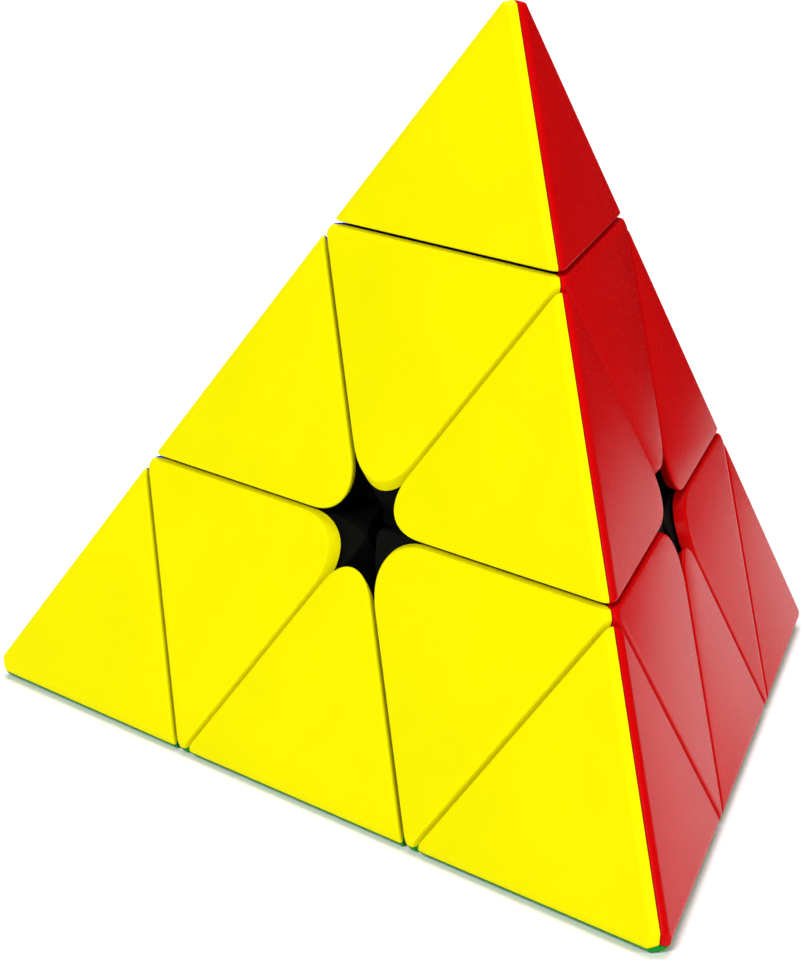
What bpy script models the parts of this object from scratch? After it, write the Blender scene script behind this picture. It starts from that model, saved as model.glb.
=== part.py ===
"""Pyramid twisty puzzle: a tetrahedron of fourteen turning pieces around a ball core.

Metres, +Z up. The origin is the centre of the core, where the four turning axes cross.
The top corner lies on +Z and the front (yellow) face looks towards -Y. Every corner of the
tetrahedron has a turning axis through the origin: a layer of seven pieces turns about it, and
the small tip at its end turns on its own.

Seven shapes are modelled once, at the top corner or on the top-left ridge, and each copy is an
object of its own that shares the mesh and is turned into place about the origin.
"""
import math

import bmesh
import bpy
from mathutils import Matrix, Vector

# ---------------------------------------------------------------- driving dimensions (metres)
EDGE = 0.103            # side of the sharp tetrahedron; 98.9 mm over its rounded corners
KERF = 0.0004           # gap between outer pieces that move past each other
FIT = 0.0003            # gap between pieces that are fixed to each other
RIDGE_ROUND = 0.0014    # rounding along the six ridges
NUB_ROUND = 0.0018      # rounding of a corner block's ridge, a little deeper than its neighbours'
EDGE_HOLE_ROUND = 0.0044    # rounding of the edge pieces' corners at a face's centre
CORNER_HOLE_ROUND = 0.0054  # rounding of the corner blocks' corners there
TILE = 0.0012           # thickness of the coloured shells
TILE_SEAM = 0.0001      # half the seam between two coloured shells on one piece

FOOT_OUT = 0.0150       # radius of the sphere between the hidden feet and the outer pieces
FOOT_IN = 0.0088        # radius of the sphere between the core ball and the feet
SLIDE = 0.0002          # half the clearance on those two spheres
FOOT_HALF_LENGTH = 0.0100
NECK_HALF_LENGTH = 0.0080
FOOT_ANGLE = math.radians(69.0)     # half angle of the cone that bounds a layer's feet
STALK_ANGLE = math.radians(37.0)    # half angle of the corner block's conical stalk

ARM_R = 0.0037          # core arm that a corner block turns on
ARM_END = 0.0104
STALK_END = 0.0107
SCREW_HOLE_R = 0.0018
SCREW_R = 0.0014
SCREW_START = 0.0042
HEAD_R = 0.0033
HEAD_AT = (0.0216, 0.0238)
SEAT = 0.0142           # shoulder in the corner block that the spring stands on
BORE_R = 0.0039         # bore for the spring and the screw head, open towards the tip
SPRING_R = 0.0026       # to the middle of the wire
SPRING_WIRE_R = 0.00035
SPRING_TURNS = 5

STEM_R = 0.0034         # tip stem that snaps into the bore
STEM_END = 0.0296
LIP_R = 0.0043
LIP_TOP = 0.0312
GROOVE_R = 0.0047
GROOVE = (0.0291, 0.0317)

# ---------------------------------------------------------------- tetrahedron
FACE = EDGE * math.sqrt(6) / 12     # from the centre to a face
CORNER = 3 * FACE                   # from the centre to a sharp corner
LAYER = FACE / 3                    # from the centre to a layer's cutting plane
TIP_CUT = FACE * 5 / 3              # from the centre to the plane under a tip, an edge third along

SIN = math.sqrt(8) / 3
AXIS = {
    "top": Vector((0, 0, 1)),
    "left": Vector((-SIN * math.sqrt(3) / 2, -SIN / 2, -1 / 3)),
    "right": Vector((SIN * math.sqrt(3) / 2, -SIN / 2, -1 / 3)),
    "back": Vector((0, SIN, -1 / 3)),
}
# A face is named by the corner opposite it, and takes that corner's colour.
FACE_COLOUR = {"back": "yellow", "left": "red", "right": "blue", "top": "green"}
TOP, LEFT, RIGHT, BACK = (AXIS[name] for name in ("top", "left", "right", "back"))
RIDGES = [("top", "left"), ("top", "right"), ("top", "back"),
          ("left", "right"), ("right", "back"), ("back", "left")]


# ---------------------------------------------------------------- helpers
def clear_scene():
    for obj in list(bpy.data.objects):
        bpy.data.objects.remove(obj, do_unlink=True)


def plastic(name, colour, roughness=0.45, metallic=0.0):
    """A Principled material with an sRGB hex colour."""
    material = bpy.data.materials.new(name)
    material.use_nodes = True
    shader = material.node_tree.nodes["Principled BSDF"]
    srgb = [int(colour[i:i + 2], 16) / 255 for i in (0, 2, 4)]
    linear = [c / 12.92 if c <= 0.04045 else ((c + 0.055) / 1.055) ** 2.4 for c in srgb]
    shader.inputs["Base Color"].default_value = (*linear, 1)
    shader.inputs["Roughness"].default_value = roughness
    shader.inputs["Metallic"].default_value = metallic
    material.diffuse_color = (*linear, 1)
    return material


def cube(size=0.2):
    bm = bmesh.new()
    bmesh.ops.create_cube(bm, size=size)
    return bm


def keep_below(bm, normal, offset):
    """Cut off everything further than offset along normal, and close the cut."""
    normal = normal.normalized()
    bmesh.ops.bisect_plane(bm, geom=bm.verts[:] + bm.edges[:] + bm.faces[:], dist=1e-7,
                           plane_co=normal * offset, plane_no=normal, clear_outer=True)
    rim = [edge for edge in bm.edges if edge.is_boundary]
    if rim:
        bmesh.ops.holes_fill(bm, edges=rim, sides=0)


def keep_above(bm, normal, offset):
    keep_below(bm, -normal, -offset)


def round_edges(bm, directions, radius, segments):
    """Round every straight edge that runs along one of the directions."""
    directions = [direction.normalized() for direction in directions]
    for direction in directions:
        edges = [edge for edge in bm.edges if edge.calc_length() > 1e-6 and abs(
            (edge.verts[1].co - edge.verts[0].co).normalized().dot(direction)) > 0.9999]
        if edges:
            half = (math.pi - edges[0].calc_face_angle()) / 2
            bmesh.ops.bevel(bm, geom=edges, offset=radius / math.tan(half), affect="EDGES",
                            offset_type="OFFSET", segments=segments, profile=0.5)


def make_mesh(bm, name):
    bmesh.ops.recalc_face_normals(bm, faces=bm.faces[:])
    mesh = bpy.data.meshes.new(name)
    bm.to_mesh(mesh)
    bm.free()
    return mesh


def helper(bm, name):
    """An object that is only used to cut or to build another one."""
    obj = bpy.data.objects.new(name, make_mesh(bm, name))
    bpy.context.scene.collection.objects.link(obj)
    return obj


def combine(body, operations, name):
    """Apply Boolean steps to a helper and return the resulting mesh."""
    for operation, other in operations:
        modifier = body.modifiers.new(operation.lower(), "BOOLEAN")
        modifier.operation = operation
        modifier.solver = "EXACT"
        modifier.object = other
    graph = bpy.context.evaluated_depsgraph_get()
    mesh = bpy.data.meshes.new_from_object(body.evaluated_get(graph))
    mesh.name = name
    for obj in [body] + [other for _, other in operations]:
        bpy.data.objects.remove(obj, do_unlink=True)
    bm = bmesh.new()
    bm.from_mesh(mesh)
    bmesh.ops.remove_doubles(bm, verts=bm.verts[:], dist=5e-6)
    bmesh.ops.dissolve_degenerate(bm, edges=bm.edges[:], dist=5e-6)
    bm.to_mesh(mesh)
    bm.free()
    return mesh


def turned(profile, axis=TOP, segments=32, name="turned"):
    """A solid of revolution: profile is (radius, distance along the axis), bottom to top."""
    bm = bmesh.new()
    rings = []
    for radius, height in profile:
        if radius < 1e-9:
            rings.append([bm.verts.new((0, 0, height))])
            continue
        angles = [2 * math.pi * i / segments for i in range(segments)]
        rings.append([bm.verts.new((radius * math.cos(a), radius * math.sin(a), height))
                      for a in angles])
    for low, high in zip(rings, rings[1:]):
        for i in range(segments):
            j = (i + 1) % segments
            quad = [low[i % len(low)], low[j % len(low)], high[j % len(high)], high[i % len(high)]]
            corners = list(dict.fromkeys(quad))
            if len(corners) > 2:
                bm.faces.new(corners)
    for ring in (rings[0], rings[-1]):
        if len(ring) > 1:
            bm.faces.new(ring)
    bmesh.ops.rotate(bm, verts=bm.verts[:], matrix=turn_to(axis))
    return helper(bm, name)


def turn_to(axis):
    """The rotation that brings +Z onto an axis."""
    return Vector((0, 0, 1)).rotation_difference(axis).to_matrix()


def ball(radius, name="ball"):
    bm = bmesh.new()
    bmesh.ops.create_uvsphere(bm, u_segments=36, v_segments=18, radius=radius)
    return helper(bm, name)


def frame(first, second):
    """A right-handed frame with its Z axis along first and its XZ plane through second."""
    z = first.normalized()
    y = z.cross(second).normalized()
    return Matrix((y.cross(z), y, z)).transposed()


def placement(first, second, model_first="top", model_second="left"):
    """The turn about the origin that takes one pair of corners onto another pair."""
    turn = frame(AXIS[first], AXIS[second]) @ frame(AXIS[model_first], AXIS[model_second]).inverted()
    return turn.to_4x4()


def place(name, mesh, material, turn=None):
    obj = bpy.data.objects.new(name, mesh)
    bpy.context.scene.collection.objects.link(obj)
    if turn is not None:
        obj.rotation_mode = "QUATERNION"
        obj.rotation_quaternion = turn.to_quaternion()
    if not mesh.materials:
        mesh.materials.append(None)
    obj.material_slots[0].link = "OBJECT"
    obj.material_slots[0].material = material
    return obj


# ---------------------------------------------------------------- outer shapes
def tip_block(inset=0.0):
    """The small pyramid beyond the tip cut, its three faces moved in by inset."""
    bm = cube()
    keep_above(bm, TOP, 0.0)
    for away in (LEFT, RIGHT, BACK):
        keep_below(bm, -away, FACE - inset)
    ridges = [TOP - away for away in (LEFT, RIGHT, BACK)]
    round_ridges(bm, ridges, RIDGE_ROUND if inset == 0 else 0.0006)
    keep_above(bm, TOP, TIP_CUT + KERF / 2)
    return bm


def round_ridges(bm, ridges, radius, segments=4):
    """Round the ridges of a corner together, so that they meet in a ball at the corner."""
    ridges = [ridge.normalized() for ridge in ridges]
    edges = [edge for edge in bm.edges if any(abs(
        (edge.verts[1].co - edge.verts[0].co).normalized().dot(r)) > 0.9999 for r in ridges)]
    half = math.acos(1 / 3) / 2
    bmesh.ops.bevel(bm, geom=edges, offset=radius / math.tan(half), affect="EDGES",
                    offset_type="OFFSET", segments=segments, profile=0.5)


def corner_block(inset=0.0):
    """The three-sided block between a tip and the layer's cutting plane."""
    bm = cube()
    for other in (LEFT, RIGHT, BACK):
        keep_below(bm, other, LAYER - KERF / 2)
    round_edges(bm, [LEFT.cross(RIGHT), RIGHT.cross(BACK), BACK.cross(LEFT)], CORNER_HOLE_ROUND, 5)
    nub = cube()
    for away in (LEFT, RIGHT, BACK):
        keep_below(nub, -away, FACE - inset)
    round_ridges(nub, [TOP - away for away in (LEFT, RIGHT, BACK)],
                 NUB_ROUND if inset == 0 else 0.0012)
    for block in (bm, nub):
        keep_above(block, TOP, LAYER + KERF / 2)
        keep_below(block, TOP, TIP_CUT - KERF / 2)
    return bm, nub


def edge_block(inset=0.0):
    """The piece on a ridge: a triangle seen across the ridge, with a rounded inner corner, cut by
    the two faces that meet in the ridge."""
    bm = cube()
    for own in (TOP, LEFT):
        keep_above(bm, own, LAYER + KERF / 2)
    round_edges(bm, [RIGHT - BACK], EDGE_HOLE_ROUND, 5)
    wedge = cube()
    for away in (RIGHT, BACK):
        keep_below(wedge, -away, FACE - inset)
    round_ridges(wedge, [TOP - LEFT], RIDGE_ROUND if inset == 0 else 0.0006)
    return bm, wedge


def shell_of(mesh, own_face, other_faces, name):
    """Keep one face's coloured shell of a block: TILE thick, ended by the seams halfway
    round the ridges."""
    bm = bmesh.new()
    bm.from_mesh(mesh)
    keep_above(bm, -own_face, FACE - TILE)
    for other in other_faces:
        keep_below(bm, own_face - other, -TILE_SEAM)
    return make_mesh(bm, name)


# ---------------------------------------------------------------- the seven repeated shapes
def tip_shell():
    return shell_of(make_mesh(tip_block(), "tip_block"), BACK, (LEFT, RIGHT), "tip_shell")


def corner_shell():
    prism, faces = corner_block()
    block = combine(helper(prism, "prism"), [("INTERSECT", helper(faces, "faces"))], "corner_block")
    return shell_of(block, BACK, (LEFT, RIGHT), "corner_shell")


def edge_shell():
    prism, faces = edge_block()
    block = combine(helper(prism, "prism"), [("INTERSECT", helper(faces, "faces"))], "edge_block")
    return shell_of(block, BACK, (RIGHT,), "edge_shell")


def tip_hub():
    """Black centre of a tip with the stem and lip that snap into the corner block."""
    body = helper(tip_block(TILE + FIT), "hub")
    start = TIP_CUT + KERF / 2
    stem = turned([(LIP_R - 0.0006, STEM_END), (LIP_R, STEM_END + 0.0005), (LIP_R, LIP_TOP),
                   (STEM_R, LIP_TOP), (STEM_R, start + 0.002)], name="stem")
    hollow = turned([(STEM_R - 0.0011, STEM_END - 0.001), (STEM_R - 0.0011, start + 0.004)],
                    segments=24, name="hollow")
    slot = cube(1.0)
    bmesh.ops.scale(slot, verts=slot.verts[:], vec=(0.0007, 0.012, 0.0052))
    bmesh.ops.translate(slot, verts=slot.verts[:], vec=(0, 0, STEM_END + 0.0016))
    return combine(body, [("UNION", stem), ("DIFFERENCE", hollow),
                          ("DIFFERENCE", helper(slot, "slot"))], "tip_hub")


def corner_base():
    """Black centre of a corner block: stalk, spring seat, bore and snap groove."""
    prism, faces = corner_block(TILE + FIT)
    low = STALK_END * math.tan(STALK_ANGLE)
    high = 0.0140
    stalk = turned([(low, STALK_END), (high * math.tan(STALK_ANGLE), high)], name="stalk")
    bore = turned([(SCREW_HOLE_R, STALK_END - 0.001), (SCREW_HOLE_R, SEAT), (BORE_R, SEAT),
                   (BORE_R, GROOVE[0]), (GROOVE_R, GROOVE[0] + 0.0004), (GROOVE_R, GROOVE[1]),
                   (BORE_R, GROOVE[1]), (BORE_R, TIP_CUT + 0.001)], name="bore")
    return combine(helper(prism, "prism"),
                   [("INTERSECT", helper(faces, "faces")),
                    ("DIFFERENCE", ball(FOOT_OUT + SLIDE)),
                    ("UNION", stalk), ("DIFFERENCE", bore)], "corner_base")


def layer_cone(axis):
    """Everything within FOOT_ANGLE of an axis, out past the feet."""
    depth = FOOT_OUT * 1.15
    return turned([(0, 0), (depth * math.tan(FOOT_ANGLE), depth)], axis, 48, "cone")


def edge_foot():
    """Black centre of an edge piece with the curved foot that the corner blocks hold in."""
    shell = ball(FOOT_OUT - SLIDE)
    trim = cube()
    across = (RIGHT - BACK).normalized()
    keep_below(trim, across, FOOT_HALF_LENGTH)
    keep_above(trim, across, -FOOT_HALF_LENGTH)
    keep_above(trim, TOP + LEFT, 0)
    foot = combine(shell, [("DIFFERENCE", ball(FOOT_IN + SLIDE)), ("INTERSECT", layer_cone(TOP)),
                           ("INTERSECT", layer_cone(LEFT)),
                           ("INTERSECT", helper(trim, "trim"))], "foot")
    neck = cube()
    keep_above(neck, TOP, LAYER + KERF / 2)
    keep_above(neck, LEFT, LAYER + KERF / 2)
    keep_below(neck, TOP + LEFT, FOOT_OUT + 0.004)
    keep_below(neck, across, NECK_HALF_LENGTH)
    keep_above(neck, across, -NECK_HALF_LENGTH)
    prism, faces = edge_block(TILE + FIT)
    foot_bm = bmesh.new()
    foot_bm.from_mesh(foot)
    return combine(helper(prism, "prism"),
                   [("INTERSECT", helper(faces, "faces")), ("UNION", helper(neck, "neck")),
                    ("UNION", helper(foot_bm, "foot"))], "edge_foot")


def screw():
    """Flange-head screw with a hexagon recess."""
    body = turned([(SCREW_R - 0.0005, SCREW_START), (SCREW_R, SCREW_START + 0.0006),
                   (SCREW_R, HEAD_AT[0]), (HEAD_R, HEAD_AT[0]), (HEAD_R, HEAD_AT[1] - 0.0005),
                   (HEAD_R - 0.0005, HEAD_AT[1])], segments=24, name="screw")
    recess = turned([(0.0014, HEAD_AT[1] - 0.0012), (0.0014, HEAD_AT[1] + 0.001)],
                    segments=6, name="recess")
    return combine(body, [("DIFFERENCE", recess)], "screw")


def spring():
    """Open coil between the shoulder and the underside of the screw head."""
    low = SEAT + FIT + SPRING_WIRE_R
    high = HEAD_AT[0] - FIT - SPRING_WIRE_R
    steps = SPRING_TURNS * 14
    bm = bmesh.new()
    rings = []
    for i in range(steps + 1):
        angle = 2 * math.pi * i / 14
        out = Vector((math.cos(angle), math.sin(angle), 0))
        centre = out * SPRING_R + Vector((0, 0, low + (high - low) * i / steps))
        rings.append([bm.verts.new(centre + SPRING_WIRE_R * (
            out * math.cos(2 * math.pi * k / 6) + TOP * math.sin(2 * math.pi * k / 6)))
            for k in range(6)])
    for low_ring, high_ring in zip(rings, rings[1:]):
        for k in range(6):
            j = (k + 1) % 6
            bm.faces.new((low_ring[k], low_ring[j], high_ring[j], high_ring[k]))
    bm.faces.new(rings[0])
    bm.faces.new(rings[-1])
    return make_mesh(bm, "spring")


def core():
    """Ball with four arms, each drilled for its screw."""
    body = ball(FOOT_IN - SLIDE, "core")
    steps = []
    for axis in AXIS.values():
        steps.append(("UNION", turned([(ARM_R, 0.004), (ARM_R, ARM_END)], axis, 24, "arm")))
    for axis in AXIS.values():
        hole = turned([(SCREW_R + FIT, SCREW_START - FIT), (SCREW_R + FIT, ARM_END + 0.001)],
                      axis, 20, "hole")
        steps.append(("DIFFERENCE", hole))
    return combine(body, steps, "core")


# ---------------------------------------------------------------- assembly
def even_order(first, second, third):
    """True when the top-left-back order turns into this order without mirroring."""
    return AXIS[first].cross(AXIS[second]).dot(AXIS[third]) * TOP.cross(LEFT).dot(BACK) > 0


def shell_turn(corner, face):
    """Turn of a shell modelled at the top corner on the face opposite the back corner."""
    return placement(corner, face, "top", "back")


def edge_turn(first, second, face):
    """Turn of an edge piece's shell modelled on the top-left ridge opposite the back corner."""
    if not even_order(first, second, face):
        first, second = second, first
    return placement(first, second)


def build():
    clear_scene()
    colours = {
        "yellow": plastic("yellow_plastic", "FFFA00"),
        "red": plastic("red_plastic", "C8141A"),
        "blue": plastic("blue_plastic", "1446C8"),
        "green": plastic("green_plastic", "1E9632"),
    }
    black = plastic("black_plastic", "0E0E10", 0.5)
    steel = plastic("steel", "B9BCC0", 0.3, 1.0)

    place("core", core(), black)
    meshes = {"screw": screw(), "spring": spring(), "base": corner_base(), "hub": tip_hub(),
              "corner": corner_shell(), "tip": tip_shell(), "foot": edge_foot(),
              "edge": edge_shell()}
    for corner in AXIS:
        second = next(name for name in ("left", "top") if name != corner)
        turn = placement(corner, second)
        place(f"screw_{corner}", meshes["screw"], steel, turn)
        place(f"spring_{corner}", meshes["spring"], steel, turn)
        place(f"corner_{corner}_base", meshes["base"], black, turn)
        place(f"tip_{corner}_hub", meshes["hub"], black, turn)
        for face, colour in FACE_COLOUR.items():
            if face != corner:
                turn_face = shell_turn(corner, face)
                place(f"corner_{corner}_{colour}", meshes["corner"], colours[colour], turn_face)
                place(f"tip_{corner}_{colour}", meshes["tip"], colours[colour], turn_face)
    for first, second in RIDGES:
        place(f"edge_{first}_{second}_foot", meshes["foot"], black, placement(first, second))
        for face, colour in FACE_COLOUR.items():
            if face not in (first, second):
                place(f"edge_{first}_{second}_{colour}", meshes["edge"], colours[colour],
                      edge_turn(first, second, face))


build()
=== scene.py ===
"""Looks of the pyramid twisty puzzle: moulded shells, black mechanism, zinc-plated screws.

Metres, in the frame's own axes: the origin is the core's centre, +Z goes out of the top tip and
the yellow face looks towards -Y. Each repeated piece is modelled once, at the top corner or on
the top-left ridge, then copied and turned about the origin.
"""
import math

import bpy
from mathutils import Matrix, Vector

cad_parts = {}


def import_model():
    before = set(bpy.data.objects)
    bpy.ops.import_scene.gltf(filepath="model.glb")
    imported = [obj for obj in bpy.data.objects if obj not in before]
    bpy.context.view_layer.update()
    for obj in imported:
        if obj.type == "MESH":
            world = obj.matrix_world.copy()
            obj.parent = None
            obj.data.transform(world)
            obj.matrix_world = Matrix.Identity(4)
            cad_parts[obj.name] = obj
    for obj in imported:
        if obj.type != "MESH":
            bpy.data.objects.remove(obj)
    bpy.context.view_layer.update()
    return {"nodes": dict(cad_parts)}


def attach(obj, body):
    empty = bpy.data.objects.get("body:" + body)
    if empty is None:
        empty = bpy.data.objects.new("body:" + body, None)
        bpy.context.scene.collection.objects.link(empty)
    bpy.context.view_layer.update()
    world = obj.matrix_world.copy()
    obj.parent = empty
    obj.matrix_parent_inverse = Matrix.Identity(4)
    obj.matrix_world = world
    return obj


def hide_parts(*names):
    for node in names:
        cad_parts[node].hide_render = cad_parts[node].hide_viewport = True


MM = 0.001

# ---------------------------------------------------------------- sizes, as in the solids
EDGE = 103 * MM
FACE = EDGE * math.sqrt(6) / 12
CORNER = 3 * FACE
LAYER = FACE / 3
TIP_CUT = FACE * 5 / 3
KERF = 0.45 * MM            # the solids stand 0.40 mm apart; no rim folds at this width
TILE = 1.2 * MM
SEAM = 0.06 * MM            # half the seam between two colours; 0.10 mm on the solids
RIDGE_ROUND = 1.4 * MM
NUB_ROUND = 1.8 * MM
EDGE_HOLE_ROUND = 4.4 * MM
CORNER_HOLE_ROUND = 5.4 * MM
BLUNT_END = 0.35            # share of a tip's ball end that is left, moulded flatter than a ball
RIM = 0.35 * MM             # rounded rims along the gaps
ROUND_STEPS = 12            # facets round a ridge
HOLE_STEPS = 14             # facets round a corner at a face's centre
RIM_STEPS = 5               # facets round a rim

SHARP = math.acos(1 / 3) / 2        # half the angle between two faces of a tetrahedron
BLUNT = math.pi / 2 - SHARP         # half of what is left outside it

SIN = math.sqrt(8) / 3
AXIS = {
    "top": Vector((0, 0, 1)),
    "left": Vector((-SIN * math.sqrt(3) / 2, -SIN / 2, -1 / 3)),
    "right": Vector((SIN * math.sqrt(3) / 2, -SIN / 2, -1 / 3)),
    "back": Vector((0, SIN, -1 / 3)),
}
TOP, LEFT, RIGHT, BACK = (AXIS[name] for name in ("top", "left", "right", "back"))
FACE_COLOUR = {"back": "yellow", "left": "red", "right": "blue", "top": "green"}
RIDGES = [("top", "left"), ("top", "right"), ("top", "back"),
          ("left", "right"), ("right", "back"), ("back", "left")]


# ---------------------------------------------------------------- modelling by hand steps
def deselect():
    bpy.ops.object.select_all(action="DESELECT")


def only(obj):
    deselect()
    obj.select_set(True)
    bpy.context.view_layer.objects.active = obj


def edit(obj, pick=None):
    """Enter edit mode on one object, with the picked edges selected, or all of it."""
    only(obj)
    if pick is not None:
        for face in obj.data.polygons:
            face.select = False
        for vertex in obj.data.vertices:
            vertex.select = False
        for edge in obj.data.edges:
            edge.select = pick(obj.data, edge)
    bpy.ops.object.mode_set(mode="EDIT")
    bpy.ops.mesh.select_mode(type="EDGE")
    if pick is None:
        bpy.ops.mesh.select_all(action="SELECT")


def leave():
    bpy.ops.object.mode_set(mode="OBJECT")


def block(name, size=160 * MM):
    deselect()
    bpy.ops.mesh.primitive_cube_add(size=size)
    obj = bpy.context.active_object
    obj.name = name
    return obj


def trim(obj, normal, distance):
    """Saw off what lies further than distance along normal, and close the cut."""
    normal = normal.normalized()
    edit(obj)
    bpy.ops.mesh.bisect(plane_co=normal * distance, plane_no=normal, use_fill=True,
                        clear_outer=True, threshold=1e-7)
    leave()


def round_over(obj, pick, radius, segments, half_angle=SHARP):
    """Round the picked edges, whose faces meet at twice half_angle inside the solid."""
    edit(obj, pick)
    bpy.ops.mesh.bevel(offset=radius / math.tan(half_angle), offset_type="OFFSET",
                       segments=segments, profile=0.5, affect="EDGES", clamp_overlap=False)
    leave()


def runs_along(*directions):
    """Picks the edges that run along one of the directions."""
    directions = [direction.normalized() for direction in directions]

    def pick(mesh, edge):
        run = mesh.vertices[edge.vertices[1]].co - mesh.vertices[edge.vertices[0]].co
        return run.length > 1e-6 and any(
            abs(run.normalized().dot(direction)) > 0.9999 for direction in directions)
    return pick


def apply_modifier(obj, kind, **settings):
    only(obj)
    modifier = obj.modifiers.new(kind.lower(), kind)
    for key, value in settings.items():
        setattr(modifier, key, value)
    bpy.ops.object.modifier_apply(modifier=modifier.name)


def boolean(obj, operation, tool):
    apply_modifier(obj, "BOOLEAN", operation=operation, object=tool, solver="EXACT")
    bpy.data.objects.remove(tool, do_unlink=True)


def soften(obj, radius, segments, half_angle, angle=35):
    """Round every rim sharper than angle, whose faces meet at about twice half_angle."""
    apply_modifier(obj, "BEVEL", width=radius / math.tan(half_angle), segments=segments,
                   limit_method="ANGLE", angle_limit=math.radians(angle), offset_type="OFFSET",
                   use_clamp_overlap=False)


# ---------------------------------------------------------------- outer blocks
def tip_block():
    obj = block("tip_block")
    trim(obj, -TOP, 0)
    for away in (LEFT, RIGHT, BACK):
        trim(obj, -away, FACE)
    round_over(obj, runs_along(TOP - LEFT, TOP - RIGHT, TOP - BACK), RIDGE_ROUND,
               ROUND_STEPS)
    trim(obj, -TOP, -TIP_CUT - KERF / 2)
    return obj


def corner_block():
    obj = block("corner_block")
    for other in (LEFT, RIGHT, BACK):
        trim(obj, other, LAYER - KERF / 2)
    round_over(obj, runs_along(LEFT.cross(RIGHT), RIGHT.cross(BACK), BACK.cross(LEFT)),
               CORNER_HOLE_ROUND, HOLE_STEPS)
    faces = block("corner_faces", 150 * MM)
    for away in (LEFT, RIGHT, BACK):
        trim(faces, -away, FACE)
    round_over(faces, runs_along(TOP - LEFT, TOP - RIGHT, TOP - BACK), NUB_ROUND,
               ROUND_STEPS)
    for part in (obj, faces):
        trim(part, -TOP, -LAYER - KERF / 2)
        trim(part, TOP, TIP_CUT - KERF / 2)
    boolean(obj, "INTERSECT", faces)
    return obj


def edge_block():
    obj = block("edge_block")
    for own in (TOP, LEFT):
        trim(obj, -own, -LAYER - KERF / 2)
    round_over(obj, runs_along(RIGHT - BACK), EDGE_HOLE_ROUND, HOLE_STEPS)
    wedge = block("edge_faces", 150 * MM)
    for away in (RIGHT, BACK):
        trim(wedge, -away, FACE)
    round_over(wedge, runs_along(TOP - LEFT), RIDGE_ROUND,
               ROUND_STEPS)
    boolean(obj, "INTERSECT", wedge)
    return obj


def shell_of(obj, rim_half_angle, own_face, other_faces, name):
    """Keep one face's coloured shell of a block, with soft rims."""
    soften(obj, RIM, RIM_STEPS, rim_half_angle)
    press_end(obj)
    trim(obj, own_face, -(FACE - TILE))
    for other in other_faces:
        trim(obj, own_face - other, -SEAM)
    only(obj)
    bpy.ops.object.shade_smooth_by_angle(angle=math.radians(30))
    obj.name = name
    return obj


def press_end(obj):
    """Press the ball end of a tip flatter, beyond the ring where it leaves the flat faces."""
    ring = CORNER - 3 * RIDGE_ROUND + RIDGE_ROUND / 3
    for vertex in obj.data.vertices:
        if vertex.co.z > ring:
            vertex.co.z = ring + (vertex.co.z - ring) * BLUNT_END


# ---------------------------------------------------------------- placing
def frame_of(first, second):
    z = first.normalized()
    y = z.cross(second).normalized()
    return Matrix((y.cross(z), y, z)).transposed()


def turn(first, second, from_first="top", from_second="left"):
    """The turn about the origin that takes one pair of corners onto another."""
    there = frame_of(AXIS[first], AXIS[second])
    return (there @ frame_of(AXIS[from_first], AXIS[from_second]).inverted()).to_4x4()


def even_order(first, second, third):
    return AXIS[first].cross(AXIS[second]).dot(AXIS[third]) * TOP.cross(LEFT).dot(BACK) > 0


def copy_turned(model, name, matrix, material, body, node):
    """A copy with its own mesh, turned into place, that stands for one solid."""
    only(model)
    bpy.ops.object.duplicate(linked=False)
    obj = bpy.context.active_object
    obj.name = name
    obj.matrix_world = matrix
    bpy.ops.object.transform_apply(location=True, rotation=True, scale=True)
    obj.data.materials.clear()
    obj.data.materials.append(material)
    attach(obj, body)
    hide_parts(node)
    return obj


# ---------------------------------------------------------------- materials
def linear(hex_colour):
    """sRGB hex to the linear colour a shader takes."""
    channels = [int(hex_colour[i:i + 2], 16) / 255 for i in (0, 2, 4)]
    return (*[c / 12.92 if c <= 0.04045 else ((c + 0.055) / 1.055) ** 2.4 for c in channels], 1)


def add(tree, kind, settings=None, inputs=None):
    """Add a node, set its properties, and set or link its inputs."""
    node = tree.nodes.new(kind)
    for key, value in (settings or {}).items():
        setattr(node, key, value)
    for key, value in (inputs or {}).items():
        if isinstance(value, bpy.types.NodeSocket):
            tree.links.new(value, node.inputs[key])
        else:
            node.inputs[key].default_value = value
    return node


def moulded_abs(name, base, shade, roughness, gloss=0.5, grain=1.0):
    """ABS moulded in a spark-eroded tool: solid dyed colour with a fine dry grain."""
    material = bpy.data.materials.new(name)
    material.use_nodes = True
    tree = material.node_tree
    shader = tree.nodes["Principled BSDF"]
    shader.inputs["IOR"].default_value = 1.53
    shader.inputs["Specular IOR Level"].default_value = gloss
    place = add(tree, "ShaderNodeTexCoord").outputs["Object"]
    sparks = add(tree, "ShaderNodeTexNoise", {"noise_dimensions": "3D"},
                 {"Vector": place, "Scale": 1 / (0.28 * MM), "Detail": 3.0, "Roughness": 0.6})
    flow = add(tree, "ShaderNodeTexNoise", {"noise_dimensions": "3D"},
               {"Vector": place, "Scale": 1 / (9 * MM), "Detail": 2.0, "Roughness": 0.5})
    tint = add(tree, "ShaderNodeValToRGB", inputs={"Fac": flow.outputs["Fac"]})
    tint.color_ramp.elements[0].position = 0.3
    tint.color_ramp.elements[0].color = linear(shade)
    tint.color_ramp.elements[1].position = 0.7
    tint.color_ramp.elements[1].color = linear(base)
    tree.links.new(tint.outputs["Color"], shader.inputs["Base Color"])
    dry = add(tree, "ShaderNodeMapRange", inputs={
        "Value": sparks.outputs["Fac"], "From Min": 0.3, "From Max": 0.7,
        "To Min": roughness - 0.06, "To Max": roughness + 0.06})
    tree.links.new(dry.outputs["Result"], shader.inputs["Roughness"])
    bump = add(tree, "ShaderNodeBump", inputs={
        "Height": sparks.outputs["Fac"], "Strength": 0.25, "Distance": 0.02 * MM * grain})
    tree.links.new(bump.outputs["Normal"], shader.inputs["Normal"])
    return material


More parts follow.
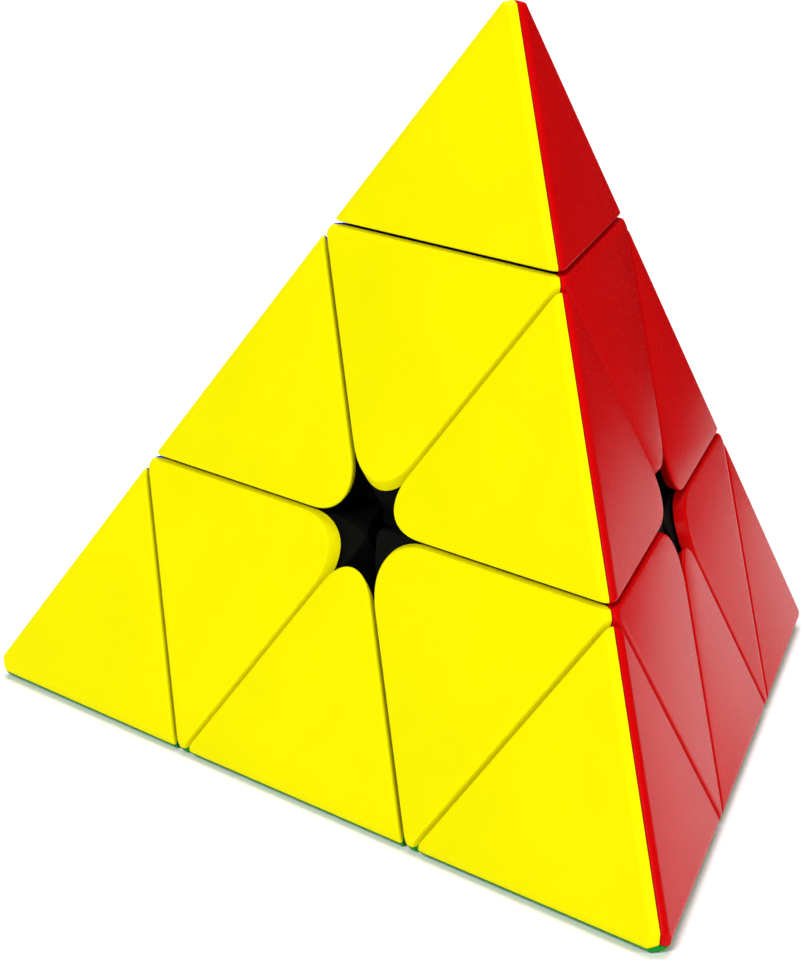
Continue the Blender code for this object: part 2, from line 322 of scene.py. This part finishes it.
def zinc_plate():
    """Bright zinc plate on steel: pale grey metal, its tone and roughness mottled by a fine
    noise.
    """
    material = bpy.data.materials.new("zinc_plated_steel")
    material.use_nodes = True
    tree = material.node_tree
    shader = tree.nodes["Principled BSDF"]
    shader.inputs["Metallic"].default_value = 1.0
    place = add(tree, "ShaderNodeTexCoord").outputs["Object"]
    cloud = add(tree, "ShaderNodeTexNoise", {"noise_dimensions": "3D"},
                {"Vector": place, "Scale": 1 / (0.6 * MM), "Detail": 3.0})
    tint = add(tree, "ShaderNodeValToRGB", inputs={"Fac": cloud.outputs["Fac"]})
    tint.color_ramp.elements[0].color = linear("A9ADB2")
    tint.color_ramp.elements[1].color = linear("C9CCD0")
    tree.links.new(tint.outputs["Color"], shader.inputs["Base Color"])
    rough = add(tree, "ShaderNodeMapRange", inputs={
        "Value": cloud.outputs["Fac"], "To Min": 0.22, "To Max": 0.36})
    tree.links.new(rough.outputs["Result"], shader.inputs["Roughness"])
    return material


# ---------------------------------------------------------------- build
def build_shells(colours):
    tip = shell_of(tip_block(), SHARP, BACK, (LEFT, RIGHT), "tip_shell_model")
    corner = shell_of(corner_block(), BLUNT, BACK, (LEFT, RIGHT), "corner_shell_model")
    edge = shell_of(edge_block(), SHARP, BACK, (RIGHT,), "edge_shell_model")
    for face, colour in FACE_COLOUR.items():
        for corner_name in AXIS:
            if corner_name == face:
                continue
            matrix = turn(corner_name, face, "top", "back")
            for kind, model in (("tip", tip), ("corner", corner)):
                node = f"{kind}_{corner_name}_{colour}"
                copy_turned(model, node + "_shell", matrix, colours[colour],
                            f"{kind}_{corner_name}", node)
        for first, second in RIDGES:
            if face in (first, second):
                continue
            pair = (first, second) if even_order(first, second, face) else (second, first)
            body = f"edge_{first}_{second}"
            copy_turned(edge, f"{body}_{colour}_shell", turn(*pair), colours[colour], body,
                        f"{body}_{colour}")
    for model in (tip, corner, edge):
        bpy.data.objects.remove(model, do_unlink=True)


def finish_nodes(frame, black, steel):
    """The solids that stay as they are get their real finish."""
    for name, obj in frame["nodes"].items():
        if name.startswith(("screw", "spring")):
            material = steel
        elif name == "core" or name.endswith(("_base", "_hub", "_foot")):
            material = black
        else:
            continue
        obj.data.materials.clear()
        obj.data.materials.append(material)


# ---------------------------------------------------------------- stage
def area_light(name, place, target, size, power):
    data = bpy.data.lights.new(name, "AREA")
    data.shape = "DISK"
    data.size = size
    data.energy = power
    obj = bpy.data.objects.new(name, data)
    bpy.context.scene.collection.objects.link(obj)
    obj.location = place
    obj.rotation_euler = (Vector(target) - Vector(place)).to_track_quat("-Z", "Y").to_euler()
    return obj


def build_stage():
    deselect()
    bpy.ops.mesh.primitive_plane_add(size=6, location=(0, 0, -FACE - 0.05 * MM))
    floor = bpy.context.active_object
    floor.name = "floor"
    paper = bpy.data.materials.new("white_paper")
    paper.use_nodes = True
    paper.node_tree.nodes["Principled BSDF"].inputs["Base Color"].default_value = linear("FFFFFF")
    paper.node_tree.nodes["Principled BSDF"].inputs["Roughness"].default_value = 0.8
    floor.data.materials.append(paper)
    # A dark flag past the back corner, seen in reflections only, keeps the upper red deep.
    deselect()
    bpy.ops.mesh.primitive_plane_add(size=1)
    flag = bpy.context.active_object
    flag.name = "dark_flag"
    flag.rotation_euler = (math.radians(90), 0, 0)
    flag.scale = (1.2, 0.5, 1)
    flag.location = (0, 0.2, 0.25 - FACE)
    felt = bpy.data.materials.new("black_felt")
    felt.use_nodes = True
    felt.node_tree.nodes["Principled BSDF"].inputs["Base Color"].default_value = linear("0A0A0A")
    felt.node_tree.nodes["Principled BSDF"].inputs["Roughness"].default_value = 1.0
    flag.data.materials.append(felt)
    flag.visible_camera = flag.visible_diffuse = flag.visible_shadow = False
    world = bpy.data.worlds.new("studio")
    bpy.context.scene.world = world
    world.use_nodes = True
    world.node_tree.nodes["Background"].inputs["Color"].default_value = linear("FFFFFF")
    world.node_tree.nodes["Background"].inputs["Strength"].default_value = 0.08
    area_light("overhead", (-0.2, 0.2, 1.1), (-0.1, 0.1, 0), 0.8, 7.2)
    area_light("key", (0.25, -0.95, 0.75), (0, 0, 0), 0.5, 10.5)
    area_light("back_sweep", (-0.7, 0.7, 0.9), (-0.5, 0.5, -0.02), 1.0, 7.0)
    area_light("right_fill", (0.95, 0.1, 0.55), (0, 0, 0), 0.5, 4.3)
    bpy.context.scene.view_settings.view_transform = "Standard"


def build_camera():
    """Long lens, a little above the puzzle, round to the right of the yellow face."""
    azimuth, elevation, roll = (math.radians(a) for a in (44.06, 16.70, 1.97))
    distance = 310.3 * MM
    aim = Vector((-8.6, -5.3, 7.25)) * MM
    forward = Vector((-math.sin(azimuth) * math.cos(elevation),
                      math.cos(azimuth) * math.cos(elevation), -math.sin(elevation)))
    data = bpy.data.cameras.new("camera")
    data.lens = 107.1
    data.sensor_width = 36
    data.clip_start = 0.01
    camera = bpy.data.objects.new("camera", data)
    bpy.context.scene.collection.objects.link(camera)
    camera.location = aim - forward * distance
    level = forward.to_track_quat("-Z", "Y")
    camera.rotation_mode = "QUATERNION"
    camera.rotation_quaternion = level @ Matrix.Rotation(roll, 4, "Z").to_quaternion()
    bpy.context.scene.camera = camera


def main():
    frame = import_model()
    colours = {
        "yellow": moulded_abs("yellow_moulded_abs", "E9E100", "E6DE00", 0.55, 0.02),
        "red": moulded_abs("red_moulded_abs", "CC0507", "C70406", 0.24, 0.022, 4.0),
        "blue": moulded_abs("blue_moulded_abs", "1046C8", "0C40C0", 0.24, 0.022, 4.0),
        "green": moulded_abs("green_moulded_abs", "129A30", "0E922C", 0.24, 0.022, 4.0),
    }
    black = moulded_abs("black_moulded_abs", "040404", "030303", 0.8, 0.08)
    build_shells(colours)
    finish_nodes(frame, black, zinc_plate())
    build_stage()
    build_camera()


main()
